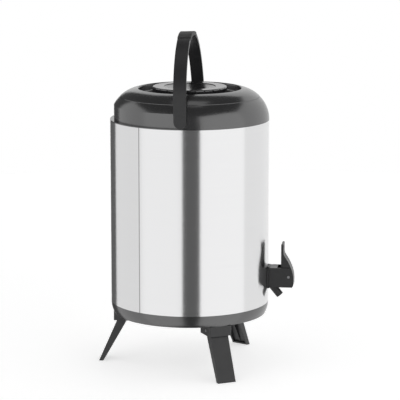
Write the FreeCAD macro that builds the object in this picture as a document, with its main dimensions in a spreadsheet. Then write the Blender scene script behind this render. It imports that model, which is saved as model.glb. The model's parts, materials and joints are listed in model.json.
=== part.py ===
import FreeCAD, Part
import math
import os

import Sketcher

# Insulated beverage dispenser: a steel barrel on three folding legs, with a lift-off lid,
# a bail handle that folds back into the collar, and a spring-closed lever tap.
# Frame: Z up, floor at Z = 0, tap towards -Y, origin under the middle of the outside box.
# Everything is drawn about the barrel axis, and keep() shifts that axis along +Y to its place.
# Legs and tap are drawn in a radial frame (X outward from the barrel axis) and turned into place.

os.makedirs("parts", exist_ok=True)
doc = FreeCAD.newDocument("beverage_dispenser")

SIZES = {
    "axis_shift": 11,
    "barrel_radius": 135,
    "shell_wall": 1,
    "steel_low": 110.7,
    "steel_high": 423,
    "weld_angle": 148.3,
    "liner_radius": 118.5,
    "liner_floor": 113.3,
    "liner_top": 449,
    "liner_lip": 124,
    "liner_corner": 14,
    "foam_gap": 0.3,
    "ring_low": 90.5,
    "ring_low_radius": 130,
    "ring_ledge": 99,
    "plastic": 3,
    "spigot": 13.5,
    "fit_gap": 0.1,
    "pan_radius": 126.5,
    "bracket_width": 40,
    "bracket_low": 73.4,
    "bracket_inner": 92,
    "bracket_outer": 130,
    "cheek": 3.5,
    "pivot_reach": 113,
    "pivot_rise": 81.2,
    "knuckle": 8,
    "leg_width": 32,
    "leg_wall": 3,
    "foot_outer": 156.9,
    "foot_inner": 149.5,
    "leg_pin_radius": 2.5,
    "leg_knee": 66,
    "toe_roof": 88,
    "bracket_screw_reach": 97,
    "bracket_screw_offset": 9,
    "collar_lip": 424.4,
    "collar_high": 461.8,
    "dome_radius": 53.7,
    "recess_radius": 128.4,
    "recess_front": 11.6,
    "collar_bore": 116.8,
    "collar_cavity": 125.2,
    "handle_rise": 436,
    "handle_lean": 2,
    "handle_inner": 129.4,
    "handle_width": 21.4,
    "grip_half_angle": 17.5,
    "handle_pin_radius": 4,
    "lid_foot": 462.6,
    "lid_lip": 476.4,
    "lid_lip_radius": 89,
    "moat_radius": 86,
    "moat_floor": 463.8,
    "plug_radius": 115.6,
    "plug_low": 440,
    "knob_radius": 63,
    "knob_high": 479.5,
    "knob_rim": 43,
    "knob_bore": 6,
    "vent_reach": 32,
    "tap_rise": 146.5,
    "tap_half_width": 16,
    "tap_cheek": 2,
    "tap_low": 137.7,
    "tap_high": 171.2,
    "tap_seat": 138.5,
    "tap_well": 151.4,
    "shank_radius": 10.5,
    "shank_bore": 5.5,
    "shank_end": 108,
    "flange_half_width": 19,
    "flange_low": 135,
    "flange_high": 172.6,
    "lever_reach": 170.8,
    "lever_rise": 155.8,
    "lever_back": 157.9,
    "lever_top": 212.5,
    "lever_half_width": 13.7,
    "lever_pin_radius": 1.7,
    "finger_reach": 163.8,
    "finger_radius": 3.2,
    "nozzle_reach": 140.1,
    "nozzle_rise": 140.4,
    "nozzle_tilt": 39.1,
    "nozzle_length": 24.5,
    "stem_radius": 2.5,
    "screw_radius": 1.75,
}

X_AXIS = FreeCAD.Vector(1, 0, 0)
Y_AXIS = FreeCAD.Vector(0, 1, 0)
Z_AXIS = FreeCAD.Vector(0, 0, 1)
LEGS = {"rear": 90, "left": 210, "right": 330}
TAP_ANGLE = -90
SCREW_ANGLES = range(0, 360, 60)

nodes = []


def make_sheet():
    sheet = doc.addObject("Spreadsheet::Sheet", "dims")
    for row, (alias, size) in enumerate(SIZES.items(), start=1):
        sheet.set(f"A{row}", alias)
        sheet.set(f"B{row}", str(size))
        sheet.setAlias(f"B{row}", alias)
    doc.recompute()
    return sheet


dims = make_sheet()


def value(expression):
    """Number that an expression over the sheet gives now."""
    return float(dims.evalExpression(expression.replace("dims.", "")))


BARREL_SHIFT = FreeCAD.Vector(0, value("dims.axis_shift"), 0)


def size(obj, **expressions):
    """Bind an object's properties to expressions over the sheet."""
    for name, expression in expressions.items():
        obj.setExpression(name, expression)
    return obj


def move(obj, x="0", y="0", z="0", axis=Z_AXIS):
    """Turn an object's Z axis towards an axis and bind its base point to the sheet."""
    obj.Placement = FreeCAD.Placement(FreeCAD.Vector(), FreeCAD.Rotation(Z_AXIS, axis))
    for letter, expression in (("x", x), ("y", y), ("z", z)):
        obj.setExpression(f"Placement.Base.{letter}", expression)
    return obj


def cylinder(name, radius, height, x="0", y="0", z="0", axis=Z_AXIS):
    obj = size(doc.addObject("Part::Cylinder", name), Radius=radius, Height=height)
    return move(obj, x, y, z, axis)


def cone(name, low_radius, high_radius, height, x="0", y="0", z="0", axis=Z_AXIS):
    obj = doc.addObject("Part::Cone", name)
    size(obj, Radius1=low_radius, Radius2=high_radius, Height=height)
    return move(obj, x, y, z, axis)


def box(name, x, y, z):
    """Box from three pairs of expressions: its low and high ends along X, Y and Z."""
    obj = doc.addObject("Part::Box", name)
    spans = [f"({high}) - ({low})" for low, high in (x, y, z)]
    size(obj, Length=spans[0], Width=spans[1], Height=spans[2])
    return move(obj, x[0], y[0], z[0])


def cut(name, base, *tools):
    obj = doc.addObject("Part::Cut", name)
    obj.Base = base
    obj.Tool = tools[0] if len(tools) == 1 else fuse(f"{name}_tools", *tools)
    return obj


def fuse(name, *shapes):
    obj = doc.addObject("Part::MultiFuse", name)
    obj.Shapes = list(shapes)
    return obj


def common(name, first, second):
    obj = doc.addObject("Part::Common", name)
    obj.Base = first
    obj.Tool = second
    return obj


def ring(name, inner, outer, low, high, axis=Z_AXIS, x="0"):
    """Plain ring about the Z axis, or about X when that axis is given."""
    span = f"({high}) - ({low})"
    if axis is X_AXIS:
        body = cylinder(f"{name}_outer", outer, span, low, "0", x, axis)
        hole = cylinder(f"{name}_inner", inner, span, low, "0", x, axis)
    else:
        body = cylinder(f"{name}_outer", outer, span, z=low)
        hole = cylinder(f"{name}_inner", inner, span, z=low)
    return cut(name, body, hole)


def origin_plane(body, role):
    return next(item for item in body.Origin.OriginFeatures if item.Role == role)


def arc_between(start, end, radius):
    """Arc from start to end, anticlockwise for a positive radius and clockwise for a negative one."""
    chord = end - start
    left = FreeCAD.Vector(-chord.y, chord.x, 0).normalize()
    height = math.sqrt(radius * radius - chord.Length ** 2 / 4)
    centre = (start + end) * 0.5 + left * math.copysign(height, radius)
    first, last = (start, end) if radius > 0 else (end, start)
    angles = [math.atan2(point.y - centre.y, point.x - centre.x) for point in (first, last)]
    if angles[1] < angles[0]:
        angles[1] += 2 * math.pi
    return Part.ArcOfCircle(Part.Circle(centre, Z_AXIS, abs(radius)), *angles)


def outline(body, role, corners, name="outline"):
    """Closed sketch on one of the body's planes; a corner's third entry is the arriving arc's radius."""
    sketch = body.newObject("Sketcher::SketchObject", f"{body.Name}_{name}")
    sketch.AttachmentSupport = [(origin_plane(body, role), "")]
    sketch.MapMode = "FlatFace"
    points = [FreeCAD.Vector(value(corner[0]), value(corner[1]), 0) for corner in corners]
    count = len(corners)
    ends = []
    rules = []
    for index in range(count):
        follow = (index + 1) % count
        bend = corners[follow][2] if len(corners[follow]) > 2 else None
        if bend is None:
            edge = sketch.addGeometry(Part.LineSegment(points[index], points[follow]))
            ends.append((edge, 1, 2))
            continue
        radius = value(bend)
        edge = sketch.addGeometry(arc_between(points[index], points[follow], radius))
        ends.append((edge, 1, 2) if radius > 0 else (edge, 2, 1))
        rules.append((Sketcher.Constraint("Radius", edge, abs(radius)), f"abs({bend})"))
    for index in range(count):
        follow = (index + 1) % count
        sketch.addConstraint(Sketcher.Constraint(
            "Coincident", ends[index][0], ends[index][2], ends[follow][0], ends[follow][1]))
    for index, corner in enumerate(corners):
        edge, start = ends[index][0], ends[index][1]
        for kind, expression, number, line in (
                ("DistanceX", corner[0], points[index].x, -2), ("DistanceY", corner[1], points[index].y, -1)):
            if abs(number) < 1e-9:
                rules.append((Sketcher.Constraint("PointOnObject", edge, start, line), None))
            else:
                rules.append((Sketcher.Constraint(kind, -1, 1, edge, start, number), expression))
    for rule, expression in rules:
        row = sketch.addConstraint(rule)
        if expression:
            sketch.setExpression(f"Constraints[{row}]", expression)
    sketch.Visibility = False
    return sketch


def turned(name, corners):
    """Body turned about the Z axis from an outline of (radius, height) corners."""
    body = doc.addObject("PartDesign::Body", name)
    sketch = outline(body, "XZ_Plane", corners)
    turn = body.newObject("PartDesign::Revolution", f"{name}_turn")
    turn.Profile = (sketch, [""])
    turn.ReferenceAxis = (sketch, ["V_Axis"])
    turn.Angle = 360
    return body


def plate(name, role, corners, thickness):
    """Body padded evenly to both sides of one of its planes."""
    body = doc.addObject("PartDesign::Body", name)
    sketch = outline(body, role, corners)
    pad = body.newObject("PartDesign::Pad", f"{name}_pad")
    pad.Profile = (sketch, [""])
    pad.Midplane = True
    pad.setExpression("Length", thickness)
    return body


def keep(obj, label, angle=0):
    """Register a finished sub-part, turned about the barrel axis by an angle and shifted with it."""
    obj.Label = label
    obj.Placement = FreeCAD.Placement(BARREL_SHIFT, FreeCAD.Rotation(Z_AXIS, angle))
    nodes.append(obj)
    return obj


# ---------------------------------------------------------------- barrel

def tap_hole(name, margin, start, end):
    """Hole for the tap's shank through a barrel wall, drawn straight at the -Y side."""
    return cylinder(name, f"dims.shank_radius + {margin}", f"({end}) - ({start})",
                    y=f"-({start})", z="dims.tap_rise", axis=-Y_AXIS)


def outer_shell():
    tube = ring("shell_tube", "dims.barrel_radius - dims.shell_wall", "dims.barrel_radius",
                "dims.steel_low", "dims.steel_high")
    groove_radius = 2.5
    groove = cylinder("weld_groove", str(groove_radius), "dims.steel_high - dims.steel_low",
                      f"(dims.barrel_radius + {groove_radius - 0.3}) * cos(dims.weld_angle)",
                      f"(dims.barrel_radius + {groove_radius - 0.3}) * sin(dims.weld_angle)", "dims.steel_low")
    keep(cut("shell", tube, groove, tap_hole("shell_hole", 0.5, "120", "140")), "outer_shell")


def inner_liner():
    wall = "dims.shell_wall"
    body = turned("liner_cup", [
        ("0", f"dims.liner_floor - {wall}"),
        ("dims.liner_radius - dims.liner_corner", f"dims.liner_floor - {wall}"),
        (f"dims.liner_radius + {wall}", "dims.liner_floor + dims.liner_corner", f"dims.liner_corner + {wall}"),
        (f"dims.liner_radius + {wall}", f"dims.liner_top - {wall}"),
        ("dims.liner_lip", f"dims.liner_top - {wall}"),
        ("dims.liner_lip", "dims.liner_top"),
        ("dims.liner_radius", "dims.liner_top"),
        ("dims.liner_radius", "dims.liner_floor + dims.liner_corner"),
        ("dims.liner_radius - dims.liner_corner", "dims.liner_floor", "-dims.liner_corner"),
        ("0", "dims.liner_floor"),
    ])
    keep(cut("liner", body, tap_hole("liner_hole", 0.5, "100", "125")), "inner_liner")


def foam_jacket():
    inner = "(dims.liner_radius + dims.shell_wall + dims.foam_gap)"
    outer = "(dims.barrel_radius - dims.shell_wall - dims.foam_gap)"
    waist = f"({outer} - dims.plastic - 0.6)"
    low = "(dims.ring_ledge + dims.plastic + dims.foam_gap)"
    base_top = "(dims.steel_low + dims.spigot + 0.5)"
    neck = "(dims.steel_high - dims.spigot - 5)"
    body = turned("foam_cup", [
        ("0", low),
        (waist, low),
        (waist, base_top),
        (outer, base_top),
        (outer, neck),
        (f"{inner} + 3", neck),
        (f"{inner} + 3", "dims.liner_top - 12"),
        (inner, "dims.liner_top - 12"),
        (inner, "dims.liner_floor + dims.liner_corner"),
        ("dims.liner_radius - dims.liner_corner", "dims.liner_floor - dims.shell_wall - dims.foam_gap",
         "-(dims.liner_corner + dims.shell_wall + dims.foam_gap)"),
        ("0", "dims.liner_floor - dims.shell_wall - dims.foam_gap"),
    ])
    keep(cut("foam", body, tap_hole("foam_hole", 1.5, "100", "140")), "foam_jacket")


# ---------------------------------------------------------------- collar and handle

def dome_at(height):
    """Radius of the dome that the collar and the lid share, at a height."""
    rise = f"({height} - dims.steel_high)"
    return f"dims.barrel_radius - dims.dome_radius + sqrt(dims.dome_radius ^ 2 - {rise} ^ 2)"


def collar():
    spigot_radius = "(dims.barrel_radius - dims.shell_wall - dims.fit_gap)"
    body = turned("collar_turned", [
        (f"{spigot_radius} - dims.plastic", "dims.steel_high - dims.spigot"),
        (spigot_radius, "dims.steel_high - dims.spigot"),
        (spigot_radius, "dims.steel_high"),
        ("dims.barrel_radius", "dims.steel_high"),
        (dome_at("dims.collar_high"), "dims.collar_high", "dims.dome_radius"),
        ("dims.collar_bore", "dims.collar_high"),
        ("dims.collar_bore", "dims.liner_top"),
        ("dims.collar_cavity", "dims.liner_top"),
        ("dims.collar_cavity", "dims.steel_high"),
        (f"{spigot_radius} - dims.plastic", "dims.steel_high - 4"),
    ])
    outside = ring("recess_ring", "dims.recess_radius", "dims.barrel_radius + 5",
                   "dims.collar_lip", "dims.collar_high")
    rear = box("recess_side", ("-150", "150"), ("-dims.recess_front", "150"), ("400", "480"))
    holes = cylinder("handle_pin_holes", "dims.handle_pin_radius + dims.fit_gap", "2 * dims.barrel_radius",
                     "-dims.barrel_radius", "0", "dims.handle_rise", X_AXIS)
    hollow = cut("collar_open", body, common("handle_recess", outside, rear), holes)
    keep(hollow, "collar")


def handle():
    """Bail and its soft grip, drawn upright and then leaned back about the pivot."""
    thickness = "(dims.barrel_radius - dims.handle_inner)"
    arch = half_ring("handle_arch", "dims.handle_inner", "dims.barrel_radius", "dims.handle_width")
    tabs = []
    for side in (-1, 1):
        inner_face = "dims.handle_inner" if side > 0 else "-dims.barrel_radius"
        tabs.append(cylinder("handle_tab", "dims.handle_width / 2", thickness, inner_face,
                             "0", "dims.handle_rise", X_AXIS))
    sockets = cylinder("handle_sockets", "dims.handle_pin_radius + dims.fit_gap", "2 * dims.barrel_radius - 3",
                       "-dims.barrel_radius + 1.5", "0", "dims.handle_rise", X_AXIS)
    bail = keep(cut("bail", fuse("bail_whole", arch, *tabs), grip_sleeve("bail_seat"), sockets), "handle_bail")
    grip = keep(grip_sleeve("grip"), "handle_grip")
    pivot = FreeCAD.Vector(0, 0, value("dims.handle_rise"))
    lean = FreeCAD.Rotation(X_AXIS, -value("dims.handle_lean"))
    for piece in (bail, grip):
        piece.Placement = FreeCAD.Placement(BARREL_SHIFT, lean, pivot)


def grip_sleeve(name):
    """Sleeve round the top of the bail, slightly proud of it on every side."""
    around = half_ring(f"{name}_arch", "dims.handle_inner - 0.4", "dims.barrel_radius + 0.5",
                       "dims.handle_width + 1.2")
    block = common(f"{name}_block", around, grip_wedge(f"{name}_wedge"))
    core = half_ring(f"{name}_core", "dims.handle_inner + 1.2", "dims.barrel_radius - 1.2",
                     "dims.handle_width - 4")
    return cut(f"{name}_sleeve", block, core)


def half_ring(name, inner, outer, width):
    """Upper half of a ring about the handle's pivot centre, its axis along Y."""
    low = f"-({width}) / 2"
    outside = cylinder(f"{name}_outside", outer, width, "0", low, "dims.handle_rise", Y_AXIS)
    inside = cylinder(f"{name}_inside", inner, width, "0", low, "dims.handle_rise", Y_AXIS)
    upper = box(f"{name}_upper", ("-150", "150"), ("-40", "40"), ("dims.handle_rise", "dims.handle_rise + 150"))
    return common(name, cut(f"{name}_ring", outside, inside), upper)


def grip_wedge(name):
    """Wedge about the handle's top that the soft grip covers."""
    return plate(name, "XZ_Plane", [
        ("0", "dims.handle_rise"),
        ("160 * sin(dims.grip_half_angle)", "dims.handle_rise + 160 * cos(dims.grip_half_angle)"),
        ("-160 * sin(dims.grip_half_angle)", "dims.handle_rise + 160 * cos(dims.grip_half_angle)"),
    ], "60")


def handle_pins():
    pins = []
    for side in (-1, 1):
        axis = X_AXIS * side
        start = "dims.collar_cavity - 2.3"
        sign = "" if side > 0 else "-"
        pins.append(cylinder("pin_head", "dims.handle_pin_radius + 3", "2",
                             f"{sign}({start})", "0", "dims.handle_rise", axis))
        length = f"dims.barrel_radius - 1.8 - ({start})"
        pins.append(cylinder("pin_shaft", "dims.handle_pin_radius", length,
                             f"{sign}({start})", "0", "dims.handle_rise", axis))
    keep(fuse("handle_pin_pair", *pins), "handle_pins")


# ---------------------------------------------------------------- base and legs

def base_ring():
    spigot_radius = "(dims.barrel_radius - dims.shell_wall - dims.fit_gap)"
    wall = "dims.plastic"
    body = turned("base_turned", [
        ("dims.ring_low_radius", "dims.ring_low"),
        ("dims.barrel_radius", "dims.steel_low", "45"),
        (spigot_radius, "dims.steel_low"),
        (spigot_radius, "dims.steel_low + dims.spigot"),
        (f"{spigot_radius} - {wall}", "dims.steel_low + dims.spigot"),
        (f"{spigot_radius} - {wall}", f"dims.ring_ledge + {wall}"),
        ("dims.pan_radius - 10", f"dims.ring_ledge + {wall}"),
        ("dims.pan_radius - 10", "dims.ring_ledge"),
        ("dims.pan_radius + 0.5", "dims.ring_ledge"),
        ("dims.pan_radius + 0.5", "dims.ring_low"),
    ])
    holes = screw_circle("ring_screw_holes", "dims.screw_radius + 0.05", "dims.pan_radius - 4.5",
                         "dims.ring_ledge - 1", "dims.ring_ledge + 2.4")
    keep(cut("base_open", body, holes), "base_ring")


def screw_circle(name, radius, reach, low, high, head="", head_high=""):
    """Six screws or holes on a circle, with heads below when a head radius is given."""
    shapes = []
    for angle in SCREW_ANGLES:
        x = f"({reach}) * cos({angle})"
        y = f"({reach}) * sin({angle})"
        shapes.append(cylinder(name + "_shank", radius, f"({high}) - ({low})", x, y, low))
        if head:
            shapes.append(cylinder(name + "_head", head, f"({head_high}) - ({low})", x, y, low))
    return fuse(name, *shapes)


def base_pan():
    low = "dims.ring_ledge - 2.5"
    disc = cylinder("pan_disc", "dims.pan_radius", "2.5", z=low)
    holes = screw_circle("pan_holes", "dims.screw_radius + 0.05", "dims.pan_radius - 4.5", low,
                         "dims.ring_ledge")
    seats = [radial_screws(f"pan_{side}", "dims.screw_radius + 0.05", low, "dims.ring_ledge", angle)
             for side, angle in LEGS.items()]
    keep(cut("pan", disc, holes, *seats), "base_pan")
    keep(screw_circle("base_screw_set", "dims.screw_radius", "dims.pan_radius - 4.5", "dims.ring_ledge - 4.2",
                      "dims.ring_ledge + 2.2", "3.2", "dims.ring_ledge - 2.5"), "base_screws")


def radial_screws(name, radius, low, high, angle):
    """Pair of screw shanks through the roof of the bracket at an angle round the base."""
    shapes = []
    for offset in ("dims.bracket_screw_offset", "-dims.bracket_screw_offset"):
        x = f"dims.bracket_screw_reach * cos({angle}) - ({offset}) * sin({angle})"
        y = f"dims.bracket_screw_reach * sin({angle}) + ({offset}) * cos({angle})"
        shapes.append(cylinder(name + "_shank", radius, f"({high}) - ({low})", x, y, low))
    return fuse(name, *shapes)


def bracket_screws():
    roof = "dims.ring_ledge - 5.7"
    head_low = f"{roof} - 1.8"
    screws = []
    for side, angle in LEGS.items():
        screws.append(radial_screws(f"roof_{side}", "dims.screw_radius", head_low,
                                    "dims.ring_ledge + 1.5", angle))
        screws.append(radial_screws(f"heads_{side}", "3.2", head_low, roof, angle))
    keep(fuse("bracket_screw_set", *screws), "bracket_screws")


def leg_bracket(side, angle):
    half = "dims.bracket_width / 2"
    inside = f"({half} - dims.cheek)"
    roof = "dims.ring_ledge - 5.7"
    tag = f"bracket_{side}"
    lower = box(f"{tag}_lower", ("dims.bracket_inner", "dims.bracket_outer"), (f"-{half}", half),
                ("dims.bracket_low", "dims.ring_low"))
    soft = doc.addObject("Part::Fillet", f"{tag}_soft")
    soft.Base = lower
    soft.Edges = [(number, 2.0, 2.0) for number in (5, 7)]
    plug = box(f"{tag}_plug", ("dims.bracket_inner", "121"), (f"-{half} + 0.5", f"{half} - 0.5"),
               ("dims.ring_low - 1", "dims.ring_ledge - 2.5"))
    well = box(f"{tag}_well", ("80", "119"), (f"-{inside}", inside), ("60", roof))
    toe = box(f"{tag}_toe", ("110", "dims.bracket_outer - dims.plastic"), (f"-{inside}", inside),
              ("60", "dims.toe_roof"))
    holes = [cylinder(f"{tag}_screw_hole", "dims.screw_radius + 0.05", "20", "dims.bracket_screw_reach",
                      f"{sign}dims.bracket_screw_offset", "dims.toe_roof - 8") for sign in ("", "-")]
    pin = cylinder(f"{tag}_pin_hole", "dims.leg_pin_radius + 0.05", "60", "dims.pivot_reach", "-30",
                   "dims.pivot_rise", Y_AXIS)
    keep(cut(tag, fuse(f"{tag}_whole", soft, plug), well, toe, *holes, pin), f"leg_bracket_{side}", angle)


def leg(side, angle):
    tag = f"leg_{side}"
    slab = plate(f"{tag}_slab", "XZ_Plane", [
        ("dims.foot_inner", "0"),
        ("dims.foot_outer", "0"),
        ("dims.bracket_outer - 2.2", "dims.leg_knee"),
        ("dims.pivot_reach + dims.knuckle", "dims.pivot_rise + 1"),
        ("dims.pivot_reach", "dims.pivot_rise + dims.knuckle", "dims.knuckle + 0.2"),
        ("dims.pivot_reach - dims.knuckle", "dims.pivot_rise", "dims.knuckle + 0.001"),
        ("dims.pivot_reach - 1", "dims.leg_knee"),
    ], "dims.leg_width")
    channel = plate(f"{tag}_channel", "XZ_Plane", [
        ("dims.foot_inner - 5.5", "-2"),
        ("dims.foot_outer - dims.leg_wall - 0.6", "-2"),
        ("dims.bracket_outer - 2.2 - dims.leg_wall", "dims.leg_knee - 2.5"),
        ("dims.pivot_reach - 6", "dims.leg_knee - 2.5"),
    ], "dims.leg_width - 2 * dims.leg_wall")
    rib = plate(f"{tag}_rib", "XZ_Plane", [
        ("dims.foot_inner + 1", "3"),
        ("dims.foot_outer - 2", "3"),
        ("dims.bracket_outer - 3", "dims.leg_knee - 1.5"),
        ("dims.pivot_reach + 2", "dims.leg_knee - 1.5"),
    ], "dims.leg_wall - 0.5")
    sole = plate(f"{tag}_sole", "XZ_Plane", [
        ("dims.foot_inner", "0"),
        ("dims.foot_outer", "0"),
        ("dims.foot_outer - 1.25", "3"),
        ("dims.foot_inner - 1.65", "3"),
    ], "dims.leg_width")
    pin = cylinder(f"{tag}_bore", "dims.leg_pin_radius + 0.05", "60", "dims.pivot_reach", "-30",
                   "dims.pivot_rise", Y_AXIS)
    hollow = cut(f"{tag}_hollow", slab, channel)
    keep(cut(tag, fuse(f"{tag}_whole", hollow, rib, sole), pin), f"leg_{side}", angle)


def leg_pins():
    pins = []
    for side, angle in LEGS.items():
        half = "(dims.bracket_width / 2 - 0.2)"
        along = FreeCAD.Vector(-math.sin(math.radians(angle)), math.cos(math.radians(angle)), 0)
        pins.append(cylinder(f"hinge_pin_{side}", "dims.leg_pin_radius", f"2 * {half}",
                             f"dims.pivot_reach * cos({angle}) + {half} * sin({angle})",
                             f"dims.pivot_reach * sin({angle}) - {half} * cos({angle})",
                             "dims.pivot_rise", along))
    keep(fuse("leg_pin_set", *pins), "leg_pins")


# ---------------------------------------------------------------- lid

def lid_cover():
    foot = dome_at("dims.lid_foot")
    shell = turned("lid_turned", [
        (f"{foot} + 0.1", "dims.collar_high"),
        (f"{foot} + 0.1", "dims.lid_foot"),
        (f"{foot} + 0.5", "dims.lid_foot"),
        ("dims.lid_lip_radius", "dims.lid_lip", "dims.dome_radius"),
        ("dims.moat_radius + 0.8", "dims.lid_lip - 2", "2.4"),
        ("dims.moat_radius", "dims.moat_floor + 3"),
        ("dims.moat_radius - 3", "dims.moat_floor", "-3"),
        ("dims.knob_bore + 0.3", "dims.moat_floor"),
        ("dims.knob_bore + 0.3", "dims.moat_floor - 2.5"),
        ("dims.lid_lip_radius", "dims.moat_floor - 2.5"),
        ("dims.lid_lip_radius + 0.5", "dims.lid_lip - 4"),
        ("105.5", "dims.lid_foot + 5.4"),
        ("112", "dims.collar_high"),
    ])
    vents = [cylinder("cover_vent", "1.5", "10", "0", f"{side}dims.vent_reach", "dims.moat_floor - 5")
             for side in ("", "-")]
    keep(cut("cover", shell, *vents), "lid_cover")


def lid_inner():
    wall = "2.5"
    body = turned("plug_turned", [
        ("0", "dims.plug_low"),
        ("dims.plug_radius - 5", "dims.plug_low"),
        ("dims.plug_radius", "dims.plug_low + 5", "5"),
        ("dims.plug_radius", "dims.plug_low + 12"),
        ("dims.plug_radius - 1.2", "dims.plug_low + 12"),
        ("dims.plug_radius - 1.2", "dims.plug_low + 17"),
        ("dims.plug_radius", "dims.plug_low + 17"),
        ("dims.plug_radius", "dims.collar_high"),
        ("dims.plug_radius - 4", "dims.collar_high"),
        ("dims.plug_radius - 4", f"dims.plug_low + {wall} + 3"),
        ("dims.plug_radius - 7", f"dims.plug_low + {wall}", "-3"),
        ("0", f"dims.plug_low + {wall}"),
    ])
    vents = [cylinder("plug_vent", "1.5", "10", "0", f"{side}dims.vent_reach", "dims.plug_low - 3")
             for side in ("", "-")]
    keep(cut("plug", body, *vents), "lid_inner")
    gasket = ring("gasket_ring", "dims.plug_radius - 1.2", "dims.plug_radius + 0.9",
                  "dims.plug_low + 12", "dims.plug_low + 17")
    keep(gasket, "lid_gasket")


def lid_foam():
    low = "dims.plug_low + 2.8"
    disc = turned("foam_disc", [
        ("13", low),
        ("dims.plug_radius - 7.5", low),
        ("dims.plug_radius - 7.5", "dims.moat_floor - 2.8"),
        ("13", "dims.moat_floor - 2.8"),
    ])
    vents = [cylinder("foam_vent", "2.5", "40", "0", f"{side}dims.vent_reach", "dims.plug_low")
             for side in ("", "-")]
    keep(cut("lid_filling", disc, *vents), "lid_foam")


def lid_knob():
    low = "(dims.moat_floor + 1)"
    wall = 2.5
    body = turned("knob_turned", [
        ("dims.knob_bore", "dims.moat_floor - 2.4"),
        ("dims.knob_bore", "dims.moat_floor + 4"),
        ("dims.knob_rim - 2", "dims.knob_high - 4.4", "260"),
        ("dims.knob_radius - 5", "dims.knob_high - 3.4"),
        (f"dims.knob_radius - {wall}", "dims.knob_high - 6"),
        (f"dims.knob_radius - {wall}", low),
        ("dims.knob_radius", low),
        ("dims.knob_radius", "dims.knob_high - 2.5"),
        ("dims.knob_radius - 2.5", "dims.knob_high", "2.5"),
        ("dims.knob_rim + 2", "dims.knob_high"),
        ("dims.knob_rim", "dims.knob_high - 1.2", "3"),
        ("0", "dims.knob_high - 6.5", "-250"),
        ("0", "dims.knob_high - 9"),
        ("2.2", "dims.knob_high - 9"),
        ("2.2", "dims.moat_floor - 2.4"),
    ])
    flutes = [cylinder("knob_flute", "1.6", "20", f"(dims.knob_radius + 0.7) * cos({angle})",
                       f"(dims.knob_radius + 0.7) * sin({angle})", low)
              for angle in range(0, 360, 15)]
    keep(cut("knob", body, *flutes), "lid_knob")
    pad = ring("seal_pad", "26", "38", "dims.moat_floor + 0.1", "dims.moat_floor + 2")
    ports = [cylinder("seal_port", "2", "5", f"{side}dims.vent_reach", "0", "dims.moat_floor - 1")
             for side in ("", "-")]
    keep(cut("seal_ported", pad, *ports), "vent_seal")
    head = cylinder("knob_screw_head", "9", "2", z="dims.moat_floor - 4.9")
    shank = cylinder("knob_screw_shank", "2.1", "9", z="dims.moat_floor - 4.9")
    keep(fuse("knob_screw_whole", head, shank), "knob_screw")


# ---------------------------------------------------------------- tap, drawn with X outward

def rounded_block(name, half_width, low, high, start, end, corner):
    """Block along X with its four long edges rounded."""
    block = box(name, (start, end), (f"-({half_width})", half_width), (low, high))
    soft = doc.addObject("Part::Fillet", f"{name}_soft")
    soft.Base = block
    soft.Edges = [(number, corner, corner) for number in (9, 10, 11, 12)]
    return soft


def tap_body():
    half = "dims.tap_half_width"
    block = plate("tap_block", "XZ_Plane", [
        ("dims.barrel_radius - 3", "dims.tap_low"),
        ("176", "dims.tap_low"),
        ("178", "dims.tap_low + 6.8", "12"),
        ("174", "dims.tap_high", "55"),
        ("dims.barrel_radius - 3", "dims.tap_high"),
    ], f"2 * {half}")
    flange = rounded_block("tap_flange", "dims.flange_half_width", "dims.flange_low", "dims.flange_high",
                           "dims.barrel_radius - 5", "dims.barrel_radius + 6", 7.0)
    saddle_reach = cylinder("saddle_reach", "dims.barrel_radius + 3.2", "100", z="100")
    flange_skin = common("tap_saddle", flange, saddle_reach)
    tilt = math.radians(value("dims.nozzle_tilt"))
    down = FreeCAD.Vector(math.sin(tilt), 0, -math.cos(tilt))
    nozzle = cone("tap_nozzle", "6.6", "6.2", "dims.nozzle_length", "dims.nozzle_reach", "0",
                  "dims.nozzle_rise", down)
    whole = fuse("tap_outside", block, flange_skin, nozzle)
    shell_space = cylinder("saddle_inside", "dims.barrel_radius + 1", "120", z="80")
    shaped = cut("tap_seated", whole, shell_space)
    shank = cylinder("tap_shank", "dims.shank_radius", "dims.tap_seat + 1 - dims.shank_end",
                     "dims.shank_end", "0", "dims.tap_rise", X_AXIS)
    solid = fuse("tap_solid", shaped, shank)
    inlet = cylinder("tap_inlet", "dims.shank_bore", "dims.tap_seat - dims.shank_end + 3", "dims.shank_end - 2",
                     "0", "dims.tap_rise", X_AXIS)
    chamber = cylinder("tap_chamber", "7.5", "dims.tap_well - 2.5 - dims.tap_seat", "dims.tap_seat", "0",
                       "dims.tap_rise", X_AXIS)
    gland = cylinder("tap_gland", "dims.stem_radius + 0.1", "10", "dims.tap_well - 5", "0",
                     "dims.tap_rise", X_AXIS)
    between = (f"-({half} - dims.tap_cheek)", f"{half} - dims.tap_cheek")
    well = box("tap_lever_well", ("dims.tap_well", "185"), between,
               ("dims.tap_low + 2.8", "dims.tap_high + 10"))
    mouth = box("tap_lever_mouth", ("172", "185"), between, ("dims.tap_low - 5", "dims.tap_high + 10"))
    drop = cylinder("tap_drop", "3.5", "8", "144.5", "0", "dims.tap_low - 4.2")
    spout = cylinder("tap_spout", "4.2", "dims.nozzle_length",
                     "dims.nozzle_reach + 5.5 * sin(dims.nozzle_tilt)",
                     "0", "dims.nozzle_rise - 5.5 * cos(dims.nozzle_tilt)", down)
    dimples = [cylinder("tap_dimple", "1.1", "dims.tap_half_width", "152", start, "165.6", Y_AXIS)
               for start in ("dims.tap_half_width - 0.8", "-2 * dims.tap_half_width + 0.8")]
    pin = cylinder("tap_pin_hole", "dims.lever_pin_radius + 0.05", "60", "dims.lever_reach", "-30",
                   "dims.lever_rise", Y_AXIS)
    hollows = (inlet, chamber, gland, well, mouth, drop, spout, pin)
    keep(cut("tap", solid, *hollows, *dimples), "tap_body", TAP_ANGLE)


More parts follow.
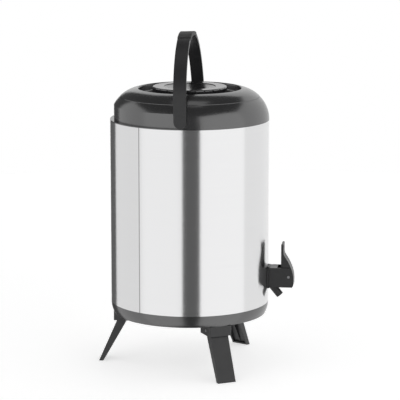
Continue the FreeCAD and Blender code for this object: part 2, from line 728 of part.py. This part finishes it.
def tap_lever():
    half = "dims.lever_half_width"
    side = plate("lever_side", "XZ_Plane", [
        ("dims.lever_back", "dims.tap_high + 1"),
        ("162", "161.5"),
        ("161", "144.5"),
        ("171.5", "143.1"),
        ("173.8", "138"),
        ("176.4", "137"),
        ("178.9", "144.5", "8"),
        ("174.8", "dims.tap_high", "55"),
        ("164.6", "dims.lever_top - 22.3", "90"),
        ("162.1", "dims.lever_top - 14.4", "-13.8"),
        ("162.1", "dims.lever_top - 1.8"),
        ("160.3", "dims.lever_top", "1.8"),
        ("dims.lever_back + 1.8", "dims.lever_top"),
        ("dims.lever_back", "dims.lever_top - 1.8", "1.8"),
    ], f"2 * {half}")
    throat = box("lever_throat", ("150", "175"), ("-5.2", "5.2"), ("133.5", "163.5"))
    open_side = cut("lever_open", side, throat)
    fingers = []
    for start in ("3.4", f"-({half})"):
        fingers.append(cylinder("lever_finger", "dims.finger_radius", f"{half} - 3.4",
                                "dims.finger_reach", start, "dims.tap_rise", Y_AXIS))
    bore = cylinder("lever_bore", "dims.lever_pin_radius + 0.05", "60", "dims.lever_reach", "-30",
                    "dims.lever_rise", Y_AXIS)
    keep(cut("lever", fuse("lever_whole", open_side, *fingers), bore), "tap_lever", TAP_ANGLE)
    rod = cylinder("lever_pin_rod", "dims.lever_pin_radius", "2 * dims.tap_half_width + 1", "dims.lever_reach",
                   "-dims.tap_half_width - 0.5", "dims.lever_rise", Y_AXIS)
    heads = []
    for start in ("dims.tap_half_width", "-dims.tap_half_width - 0.5"):
        heads.append(cylinder("lever_pin_head", "dims.lever_pin_radius + 0.5", "0.5", "dims.lever_reach", start,
                              "dims.lever_rise", Y_AXIS))
    keep(fuse("lever_pin_whole", rod, *heads), "lever_pin", TAP_ANGLE)


def tap_valve():
    rod = cylinder("stem_rod", "dims.stem_radius", "170 - dims.tap_seat", "dims.tap_seat", "0",
                   "dims.tap_rise", X_AXIS)
    catch = cylinder("stem_catch", "4.5", "2.5", "167.5", "0", "dims.tap_rise", X_AXIS)
    keep(fuse("stem_whole", rod, catch), "tap_stem", TAP_ANGLE)
    seal = ring("seal_disc", "dims.stem_radius", "6.8", "dims.tap_seat", "dims.tap_seat + 2.5",
                X_AXIS, "dims.tap_rise")
    keep(seal, "tap_seal", TAP_ANGLE)


def tap_spring():
    """Closing spring about the stem in front of the seal, its round wire swept half a turn at a time."""
    turns = 3
    wire_radius = 0.5
    coil_radius = 4.6
    end_gap = 0.6
    start = value("dims.tap_seat") + 2.5 + end_gap
    length = value("dims.tap_well") - 2.5 - start - end_gap
    pitch = length / turns
    helix = Part.makeHelix(pitch, pitch / 2, coil_radius)
    heading = helix.Edges[0].tangentAt(helix.Edges[0].FirstParameter)
    wire = Part.makeCircle(wire_radius, FreeCAD.Vector(coil_radius, 0, 0), heading)
    half_turn = Part.Wire(helix.Edges).makePipeShell([Part.Wire([wire])], True, True)
    coils = []
    for step in range(2 * turns):
        coil = half_turn.copy()
        coil.Placement = FreeCAD.Placement(Z_AXIS * (pitch / 2 * step), FreeCAD.Rotation(Z_AXIS, 180 * step))
        coils.append(coil)
    spring = doc.addObject("Part::Feature", "spring")
    spring.Shape = coils[0].fuse(coils[1:]).Solids[0]
    in_chamber = FreeCAD.Vector(start, 0, value("dims.tap_rise"))
    along_tap = FreeCAD.Placement(in_chamber, FreeCAD.Rotation(Z_AXIS, X_AXIS))
    keep(spring, "tap_spring", TAP_ANGLE)
    spring.Placement = spring.Placement.multiply(along_tap)


def tap_seals():
    flange = rounded_block("gasket_block", "dims.flange_half_width", "dims.flange_low", "dims.flange_high",
                           "dims.barrel_radius - 5", "dims.barrel_radius + 6", 7.0)
    skin = ring("gasket_skin", "dims.barrel_radius + 0.1", "dims.barrel_radius + 0.95", "100", "200")
    hole = cylinder("gasket_hole", "dims.shank_radius + 0.2", "60", "100", "0", "dims.tap_rise", X_AXIS)
    keep(cut("outer_gasket", common("gasket_saddle", flange, skin), hole), "tap_gasket_outer", TAP_ANGLE)
    washer = ring("washer", "dims.shank_radius + 0.1", "16.5", "dims.liner_radius - 4", "dims.liner_radius",
                  X_AXIS, "dims.tap_rise")
    inside = cylinder("washer_side", "dims.liner_radius - 0.1", "100", z="100")
    keep(common("inner_gasket", washer, inside), "tap_gasket_inner", TAP_ANGLE)
    across = "17"
    hexagon = doc.addObject("Part::Prism", "nut_blank")
    hexagon.Polygon = 6
    size(hexagon, Circumradius=across, Height="5.5")
    move(hexagon, "dims.liner_radius - 4 - 5.5", "0", "dims.tap_rise", X_AXIS)
    thread = cylinder("nut_thread", "dims.shank_radius + 0.05", "20", "100", "0", "dims.tap_rise", X_AXIS)
    keep(cut("nut", hexagon, thread), "tap_nut", TAP_ANGLE)


# ---------------------------------------------------------------- build and write

def check():
    for obj in doc.Objects:
        if "Invalid" in obj.State or "Error" in obj.State:
            raise RuntimeError(f"{obj.Name} ({obj.Label}) failed to recompute")
    for node in nodes:
        if node.Shape.isNull() or not node.Shape.isValid() or node.Shape.Volume <= 0:
            raise RuntimeError(f"{node.Label} has no valid shape")


outer_shell()
inner_liner()
foam_jacket()
collar()
handle()
handle_pins()
base_ring()
base_pan()
bracket_screws()
for leg_side, leg_angle in LEGS.items():
    leg_bracket(leg_side, leg_angle)
    leg(leg_side, leg_angle)
leg_pins()
lid_cover()
lid_inner()
lid_foam()
lid_knob()
tap_body()
tap_lever()
tap_valve()
tap_spring()
tap_seals()
doc.recompute()
check()
for node in nodes:
    node.Shape.exportStep(f"parts/{node.Label}.step")
    bounds = node.Shape.BoundBox
    print(f"{node.Label:18s} {node.Shape.Volume / 1000:9.2f} cm3  X {bounds.XMin:.1f} {bounds.XMax:.1f}"
          f"  Y {bounds.YMin:.1f} {bounds.YMax:.1f}  Z {bounds.ZMin:.1f} {bounds.ZMax:.1f}")
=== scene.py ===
import json
import math

import bpy
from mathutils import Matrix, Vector


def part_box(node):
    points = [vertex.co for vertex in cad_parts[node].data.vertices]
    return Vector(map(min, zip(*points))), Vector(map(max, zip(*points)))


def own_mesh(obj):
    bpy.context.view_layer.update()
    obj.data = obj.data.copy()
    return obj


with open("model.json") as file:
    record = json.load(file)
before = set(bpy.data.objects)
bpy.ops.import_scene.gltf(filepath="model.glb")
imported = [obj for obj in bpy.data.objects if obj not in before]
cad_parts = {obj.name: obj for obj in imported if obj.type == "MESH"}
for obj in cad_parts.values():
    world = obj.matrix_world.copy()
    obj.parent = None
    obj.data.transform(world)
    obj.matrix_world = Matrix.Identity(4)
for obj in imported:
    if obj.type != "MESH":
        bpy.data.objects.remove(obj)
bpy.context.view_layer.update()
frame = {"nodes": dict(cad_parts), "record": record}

# Looks of the insulated beverage dispenser. Metres, Z up, floor at Z = 0, tap towards -Y.

NODES = frame["nodes"]

# Camera: where it looks, and from where.
CAMERA_AZIMUTH = -83.45
CAMERA_ELEVATION = 10.37
CAMERA_DISTANCE = 3.519
CAMERA_LENS = 185.5
CAMERA_TARGET = Vector((0, -0.0065, 0.2835))

# Studio: a dim room with plain softboxes. Each has a bearing from the camera and the angle that it
# spans there, in degrees, and a brightness. Each pair stands edge to edge, and all of them reach low,
# so that the steel keeps its bright and dark bands when it is seen from above.
ROOM_LEVEL = 0.12
SOFTBOX_DISTANCE = 2.2
SOFTBOX_HEIGHT = 5.9
SOFTBOX_DROP = 0.84     # of each one's middle, below the point that the camera looks at
SOFTBOXES = {
    "left_softbox": (-41, 61, 0.95),
    "left_side_softbox": (-102, 61, 0.75),
    "right_softbox": (49, 70, 1.0),
    "right_side_softbox": (119, 70, 0.82),
    "backdrop": (174.5, 41, 0.85),
}
TOP_LIGHT_HEIGHT = 2.4
TOP_LIGHT_SIZE = 0.9
TOP_LIGHT_BRIGHTNESS = 0.5
FLOOR_RADIUS = 2.0
FLOOR_DROP = 0.0002     # below the soles, so that the two never share a plane
FLOOR_GREY = (0.8, 0.8, 0.8, 1.0)
FLOOR_GLOW = 0.6
WHITE = (1.0, 1.0, 1.0, 1.0)
UP = Vector((0, 0, 1))


# ---------------------------------------------------------------- camera and studio

def direction(azimuth, elevation):
    """Unit vector from the object, where azimuth 0 is the tap's side."""
    turn = math.radians(azimuth)
    rise = math.radians(elevation)
    return Vector((math.sin(turn) * math.cos(rise), -math.cos(turn) * math.cos(rise), math.sin(rise)))


def add_camera():
    data = bpy.data.cameras.new("camera")
    data.lens = CAMERA_LENS
    data.sensor_width = 36
    camera = bpy.data.objects.new("camera", data)
    bpy.context.scene.collection.objects.link(camera)
    away = direction(CAMERA_AZIMUTH, CAMERA_ELEVATION)
    camera.location = CAMERA_TARGET + away * CAMERA_DISTANCE
    camera.rotation_euler = (-away).to_track_quat("-Z", "Y").to_euler()
    bpy.context.scene.camera = camera


def link(tree, source, target):
    tree.links.new(source, target)


def add_area_light(name, width, height, brightness, location, away):
    """A rectangle of even brightness that faces against the direction away."""
    data = bpy.data.lights.new(name, "AREA")
    data.shape = "RECTANGLE"
    data.size = width
    data.size_y = height
    data.energy = brightness * width * height * math.pi
    light = bpy.data.objects.new(name, data)
    bpy.context.scene.collection.objects.link(light)
    light.location = location
    light.rotation_euler = away.to_track_quat("Z", "Y").to_euler()
    light.visible_camera = False


def add_softboxes():
    """The upright softboxes round the object, and one overhead."""
    for name, (bearing, span, brightness) in SOFTBOXES.items():
        width = 2 * SOFTBOX_DISTANCE * math.tan(math.radians(span / 2))
        away = direction(CAMERA_AZIMUTH + bearing, 0)
        location = CAMERA_TARGET + away * SOFTBOX_DISTANCE - UP * SOFTBOX_DROP
        add_area_light(name, width, SOFTBOX_HEIGHT, brightness, location, away)
    add_area_light("top_softbox", TOP_LIGHT_SIZE, TOP_LIGHT_SIZE, TOP_LIGHT_BRIGHTNESS,
                   UP * TOP_LIGHT_HEIGHT, UP)


def add_world():
    """Even grey room for light and reflections, white where the camera sees it directly."""
    world = bpy.data.worlds.new("studio")
    bpy.context.scene.world = world
    world.use_nodes = True
    tree = world.node_tree
    tree.nodes.clear()
    room = tree.nodes.new("ShaderNodeBackground")
    room.inputs["Color"].default_value = WHITE
    room.inputs["Strength"].default_value = ROOM_LEVEL
    backdrop = tree.nodes.new("ShaderNodeBackground")
    backdrop.inputs["Color"].default_value = WHITE
    rays = tree.nodes.new("ShaderNodeLightPath")
    choose = tree.nodes.new("ShaderNodeMixShader")
    link(tree, rays.outputs["Is Camera Ray"], choose.inputs[0])
    link(tree, room.outputs[0], choose.inputs[1])
    link(tree, backdrop.outputs[0], choose.inputs[2])
    output = tree.nodes.new("ShaderNodeOutputWorld")
    link(tree, choose.outputs[0], output.inputs["Surface"])


def add_floor():
    """Pale floor with a slight glow, left out of reflections so that the steel keeps its dark band."""
    bpy.ops.mesh.primitive_circle_add(
        vertices=96, radius=FLOOR_RADIUS, fill_type="NGON", location=(0, 0, -FLOOR_DROP))
    floor = bpy.context.object
    floor.name = "floor"
    material = bpy.data.materials.new("floor_white")
    material.use_nodes = True
    shader = material.node_tree.nodes["Principled BSDF"]
    shader.inputs["Base Color"].default_value = FLOOR_GREY
    shader.inputs["Emission Color"].default_value = WHITE
    shader.inputs["Emission Strength"].default_value = FLOOR_GLOW
    shader.inputs["Roughness"].default_value = 0.9
    shader.inputs["Specular IOR Level"].default_value = 0.1
    floor.data.materials.append(material)
    floor.visible_glossy = False


# ---------------------------------------------------------------- materials

STEEL = (0.78, 0.78, 0.785)
# The weld line is painted shade: the steel's colour is darkened along it to stand in for the shade of
# the weld groove.
WELD_ANGLE = 148.3
WELD_HALF_WIDTH = 0.0008
WELD_FADE = 1.6         # where the line has faded out, in half widths
# share of the steel colour that the painted shade along the weld keeps
WELD_PAINTED_SHADE = 0.45


class Finish:
    """A Principled material with helpers for the noise that drives its colour, roughness and bump."""

    def __init__(self, name, colour, roughness, metallic=0.0, ior=1.5):
        self.material = bpy.data.materials.new(name)
        self.material.use_nodes = True
        self.tree = self.material.node_tree
        self.shader = self.tree.nodes["Principled BSDF"]
        self.colour = colour
        self.roughness = roughness
        self.shader.inputs["Base Color"].default_value = (*colour, 1)
        self.shader.inputs["Roughness"].default_value = roughness
        self.shader.inputs["Metallic"].default_value = metallic
        self.shader.inputs["IOR"].default_value = ior
        self.material.diffuse_color = (*colour, 1)

    def noise(self, scale, stretch=(1, 1, 1), detail=3.0):
        """Noise over object space, stretched along an axis by a smaller number there."""
        tree = self.tree
        coordinates = tree.nodes.new("ShaderNodeTexCoord")
        mapping = tree.nodes.new("ShaderNodeMapping")
        mapping.inputs["Scale"].default_value = stretch
        texture = tree.nodes.new("ShaderNodeTexNoise")
        texture.inputs["Scale"].default_value = scale
        texture.inputs["Detail"].default_value = detail
        link(tree, coordinates.outputs["Object"], mapping.inputs["Vector"])
        link(tree, mapping.outputs["Vector"], texture.inputs["Vector"])
        return texture.outputs["Fac"]

    def spread(self, factor, low, high):
        """Stretch a noise, which stays near its middle, over the range from low to high."""
        node = self.tree.nodes.new("ShaderNodeMapRange")
        node.inputs["From Min"].default_value = 0.3
        node.inputs["From Max"].default_value = 0.7
        node.inputs["To Min"].default_value = low
        node.inputs["To Max"].default_value = high
        link(self.tree, factor, node.inputs["Value"])
        return node.outputs[0]

    def vary_roughness(self, factor, amount):
        level = self.spread(factor, self.roughness - amount, self.roughness + amount)
        link(self.tree, level, self.shader.inputs["Roughness"])
        return self

    def vary_colour(self, factor, amount):
        """Lighten and darken the colour by a share of itself. Mix inputs 6 and 7 are its colours."""
        mix = self.tree.nodes.new("ShaderNodeMix")
        mix.data_type = "RGBA"
        mix.inputs[6].default_value = (*[c * (1 - amount) for c in self.colour], 1)
        mix.inputs[7].default_value = (*[min(1, c * (1 + amount)) for c in self.colour], 1)
        link(self.tree, self.spread(factor, 0, 1), mix.inputs[0])
        link(self.tree, mix.outputs[2], self.shader.inputs["Base Color"])
        return self

    def painted_shade_line(self, point, half_width):
        """Paint shade into a narrow upright line through a point, as the shade of a weld groove, after
        any other colour.
        """
        tree = self.tree
        coordinates = tree.nodes.new("ShaderNodeTexCoord")
        flat = tree.nodes.new("ShaderNodeVectorMath")
        flat.operation = "MULTIPLY"
        flat.inputs[1].default_value = (1, 1, 0)
        gap = tree.nodes.new("ShaderNodeVectorMath")
        gap.operation = "DISTANCE"
        gap.inputs[1].default_value = point
        near = tree.nodes.new("ShaderNodeMapRange")
        near.inputs["From Min"].default_value = half_width
        near.inputs["From Max"].default_value = half_width * WELD_FADE
        shade = tree.nodes.new("ShaderNodeMix")
        shade.data_type = "RGBA"
        shade.inputs[6].default_value = (*[c * WELD_PAINTED_SHADE for c in self.colour], 1)
        link(tree, coordinates.outputs["Object"], flat.inputs[0])
        link(tree, flat.outputs[0], gap.inputs[0])
        link(tree, gap.outputs["Value"], near.inputs["Value"])
        link(tree, near.outputs[0], shade.inputs[0])
        link(tree, self.shader.inputs["Base Color"].links[0].from_socket, shade.inputs[7])
        link(tree, shade.outputs[2], self.shader.inputs["Base Color"])
        return self

    def bump(self, factor, height, strength=1.0):
        node = self.tree.nodes.new("ShaderNodeBump")
        node.inputs["Strength"].default_value = strength
        node.inputs["Distance"].default_value = height
        link(self.tree, factor, node.inputs["Height"])
        link(self.tree, node.outputs[0], self.shader.inputs["Normal"])
        return self


def barrel_steel():
    finish = Finish("barrel_steel", STEEL, 0.2, metallic=1.0)
    finish.shader.inputs["Anisotropic"].default_value = 0.85
    finish.shader.inputs["Anisotropic Rotation"].default_value = 0.25
    tangent = finish.tree.nodes.new("ShaderNodeTangent")
    tangent.direction_type = "RADIAL"
    tangent.axis = "Z"
    link(finish.tree, tangent.outputs[0], finish.shader.inputs["Tangent"])
    brushing = finish.noise(120, (0.02, 0.02, 14), detail=2)
    finish.vary_colour(brushing, 0.02)
    finish.vary_roughness(brushing, 0.03)
    # Painted shade: a dark line along the weld groove, darkening the steel's colour there.
    finish.painted_shade_line(weld_point(), WELD_HALF_WIDTH)
    return finish.material


def weld_point():
    """Where the barrel's weld line stands, from the shell's own box."""
    low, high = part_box("outer_shell")
    radius = (high[0] - low[0]) / 2
    turn = math.radians(WELD_ANGLE)
    centre = Vector(((low[0] + high[0]) / 2, (low[1] + high[1]) / 2, 0))
    return centre + Vector((math.cos(turn), math.sin(turn), 0)) * radius


def liner_steel():
    finish = Finish("liner_steel", (0.62, 0.62, 0.63), 0.3, metallic=1.0)
    brushing = finish.noise(90, (0.05, 0.05, 8), detail=2)
    return finish.vary_roughness(brushing, 0.05).material


def fastener_steel():
    finish = Finish("fastener_steel", (0.42, 0.42, 0.43), 0.3, metallic=1.0)
    return finish.vary_roughness(finish.noise(600), 0.06).material


def gloss_black():
    finish = Finish("gloss_black", (0.012, 0.012, 0.013), 0.2, ior=2.2)
    ripple = finish.noise(18, detail=1)
    finish.vary_roughness(finish.noise(60), 0.015)
    return finish.bump(ripple, 0.0002, 0.15).material


def satin_black():
    finish = Finish("satin_black", (0.026, 0.026, 0.027), 0.36)
    grain = finish.noise(1400, detail=2)
    finish.vary_roughness(finish.noise(70), 0.05)
    return finish.bump(grain, 0.00005, 0.35).material


def soft_grip():
    finish = Finish("soft_grip", (0.026, 0.026, 0.026), 0.6)
    grain = finish.noise(1000, detail=2)
    finish.vary_roughness(finish.noise(90), 0.05)
    return finish.bump(grain, 0.00008, 0.5).material


def silicone():
    finish = Finish("silicone", (0.7, 0.7, 0.68), 0.4)
    return finish.vary_colour(finish.noise(50), 0.03).material


def black_rubber():
    finish = Finish("black_rubber", (0.02, 0.02, 0.02), 0.6)
    return finish.bump(finish.noise(900), 0.00006, 0.4).material


def foam():
    finish = Finish("foam", (0.8, 0.7, 0.42), 0.9)
    return finish.bump(finish.noise(500), 0.0004, 0.8).material


FINISHES = {
    "steel": barrel_steel,
    "liner_steel": liner_steel,
    "gloss_black": gloss_black,
    "satin_black": satin_black,
    "soft_grip": soft_grip,
    "silicone": silicone,
    "black_rubber": black_rubber,
    "foam": foam,
    "fastener_steel": fastener_steel,
}

# Radius of the softened edges of moulded pieces, and how sharp an edge is to be softened, in degrees.
EDGE_RADIUS = {"satin_black": 0.0004, "soft_grip": 0.0004, "gloss_black": 0.0003}
EDGE_ANGLE = 40


def soften(piece, radius):
    bevel = piece.modifiers.new("soft_edges", "BEVEL")
    bevel.width = radius
    bevel.segments = 2
    bevel.limit_method = "ANGLE"
    bevel.angle_limit = math.radians(EDGE_ANGLE)
    bevel.harden_normals = True


def dress_nodes():
    """Give every CAD node the finish of its slot in the record, and soften its moulded edges."""
    made = {name: make() for name, make in FINISHES.items()}
    for part in frame["record"]["subparts"]:
        mesh = NODES[part["node"]].data
        mesh.materials.clear()
        mesh.materials.append(made[part["material_slot"]])
        if part["material_slot"] in EDGE_RADIUS:
            soften(NODES[part["node"]], EDGE_RADIUS[part["material_slot"]])


# ---------------------------------------------------------------- spring

def squash_spring():
    """Give the closing spring a mesh of its own."""
    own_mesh(NODES["tap_spring"])


# ---------------------------------------------------------------- scene

add_camera()
add_world()
add_softboxes()
add_floor()
dress_nodes()
squash_spring()
bpy.context.scene.view_settings.view_transform = "Standard"
